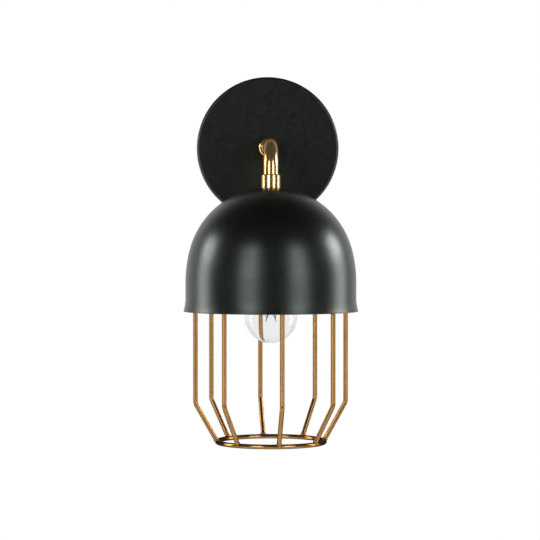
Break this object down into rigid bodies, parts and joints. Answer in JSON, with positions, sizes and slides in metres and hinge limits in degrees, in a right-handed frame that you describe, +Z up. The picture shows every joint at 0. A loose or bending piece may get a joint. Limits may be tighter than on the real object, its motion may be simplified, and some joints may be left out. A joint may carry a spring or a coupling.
{
  "type": "cage wall light",
  "caption": "Wall light with a round backplate, an elbow arm, a domed metal shade and a wire cage round a screw-in globe bulb.",
  "frame": {"origin": "on the wall, behind the middle of the backplate, which is also the middle between the two wall screw slots", "axes": "+Y into the wall, +Z up, +X to the right of someone facing the light"},
  "size_m": [0.1498, 0.1789, 0.32],
  "materials": {
    "black_paint": "satin powder coat",
    "satin_brass": "satin, lightly brushed, clear lacquered",
    "cage_gold": "satin antique brass plating on steel wire",
    "zinc_steel": "zinc plated",
    "ground_green": "green dyed zinc",
    "contact_brass": "plain",
    "block_plastic": "natural nylon",
    "black_phenolic": "moulded phenolic",
    "live_insulation": "satin PVC",
    "neutral_insulation": "satin PVC",
    "earth_insulation": "satin PVC",
    "clear_glass": "clear, polished",
    "bulb_base_metal": "plain rolled sheet",
    "base_insulator": "black glass",
    "solder_tip": "soldered",
    "filament_metal": "dull tungsten and nickel wire"
  },
  "bodies": {
    "fixture": {"canopy": "black_paint", "shade": "black_paint", "plate_collar": "satin_brass", "arm_tube": "satin_brass", "shade_collar": "satin_brass", "cage_top_ring": "cage_gold", "cage_bottom_ring": "cage_gold", "cage_spider": "cage_gold", "cage_wire_1": "cage_gold", "cage_wire_2": "cage_gold", "cage_wire_3": "cage_gold", "cage_wire_4": "cage_gold", "cage_wire_5": "cage_gold", "cage_wire_6": "cage_gold", "cage_wire_7": "cage_gold", "cage_wire_8": "cage_gold", "mounting_bracket": "zinc_steel", "canopy_set_screws": "zinc_steel", "plate_lock_washer": "zinc_steel", "plate_nut": "zinc_steel", "plate_nipple": "zinc_steel", "shade_nipple": "zinc_steel", "shade_lock_washer": "zinc_steel", "shade_nut": "zinc_steel", "terminal_screws": "zinc_steel", "terminal_block_screw": "zinc_steel", "lampholder_screws": "zinc_steel", "ground_screw": "ground_green", "terminal_barrels": "contact_brass", "earth_tags": "contact_brass", "lampholder_posts": "contact_brass", "centre_contact": "contact_brass", "screw_shell": "contact_brass", "terminal_block": "block_plastic", "lampholder_cap": "black_phenolic", "lampholder_body": "black_phenolic", "lampholder_core": "black_phenolic", "live_lead": "live_insulation", "neutral_lead": "neutral_insulation", "earth_lead": "earth_insulation"},
    "bulb_carrier": {"bulb_contact_tip": "solder_tip"},
    "bulb": {"bulb_glass": "clear_glass", "bulb_base_shell": "bulb_base_metal", "bulb_base_insulator": "base_insulator", "bulb_stem": "clear_glass", "bulb_supports": "filament_metal", "bulb_filament": "filament_metal"}
  },
  "joints": [
    {"name": "bulb_travel", "type": "slide", "parent": "fixture", "child": "bulb_carrier", "axis": [0, 0, -1], "range_m": [0, 0.01815]},
    {"name": "bulb_turn", "type": "hinge", "parent": "bulb_carrier", "child": "bulb", "pos_m": [0, -0.104, -0.1476], "axis": [0, 0, -1], "range_deg": [0, 1800]}
  ],
  "couplings": [
    {"joint": "bulb_travel", "follows": "bulb_turn", "m_per_rad": 0.00057757}
  ]
}
